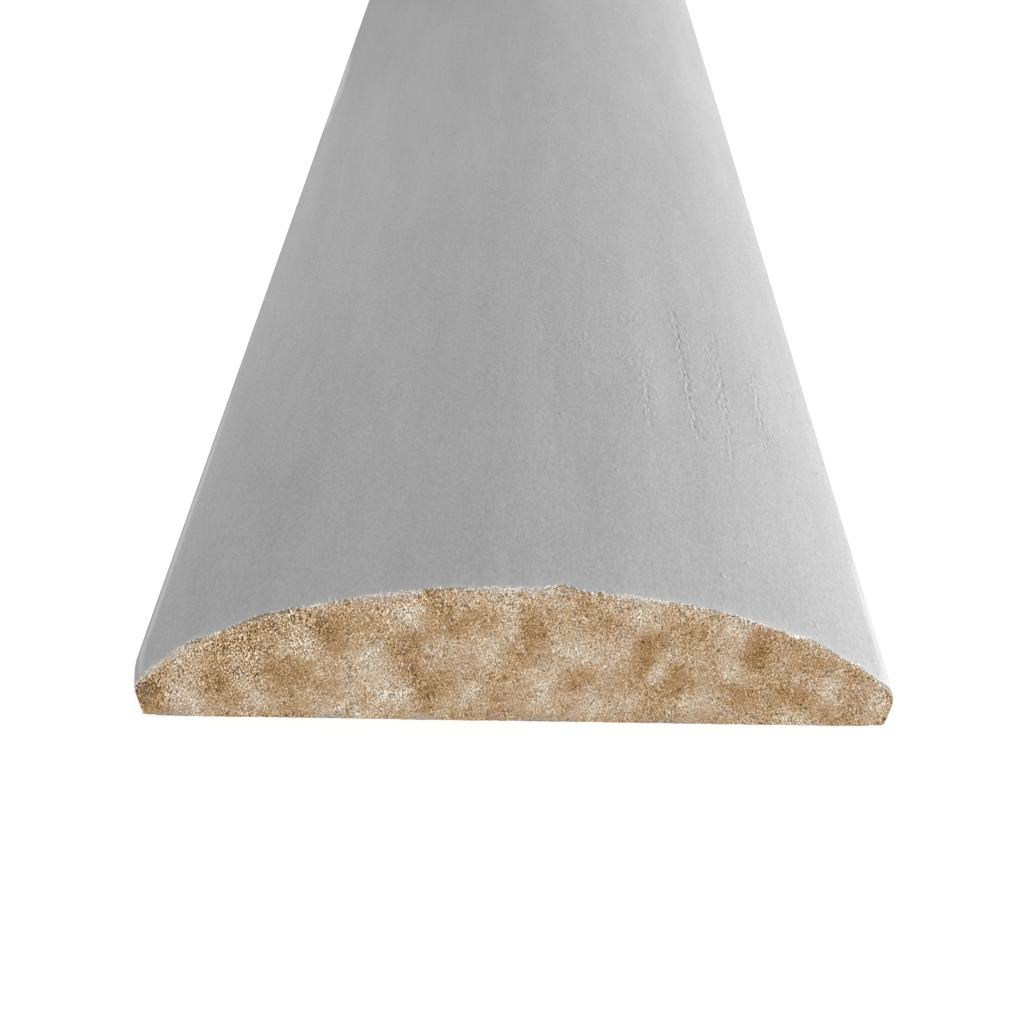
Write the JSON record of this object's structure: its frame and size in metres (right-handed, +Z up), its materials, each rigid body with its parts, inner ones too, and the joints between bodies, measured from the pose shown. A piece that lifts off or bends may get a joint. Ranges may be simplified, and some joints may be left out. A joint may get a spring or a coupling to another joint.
{
  "type": "batten moulding",
  "caption": "Primed fibreboard batten moulding with a flat back, thin edges and a crowned face, cut square at both ends, for covering joints between panels.",
  "frame": {"origin": "under the middle of the strip, on the plane of its flat back", "axes": "+X across the width, +Y along the length away from the end that the picture shows, +Z up out of the crown"},
  "size_m": [0.0318, 0.135, 0.0063],
  "materials": {
    "primer": "matte",
    "sawn_fibreboard": "matte"
  },
  "bodies": {
    "root": {"batten_strip": "primer"}
  },
  "joints": []
}
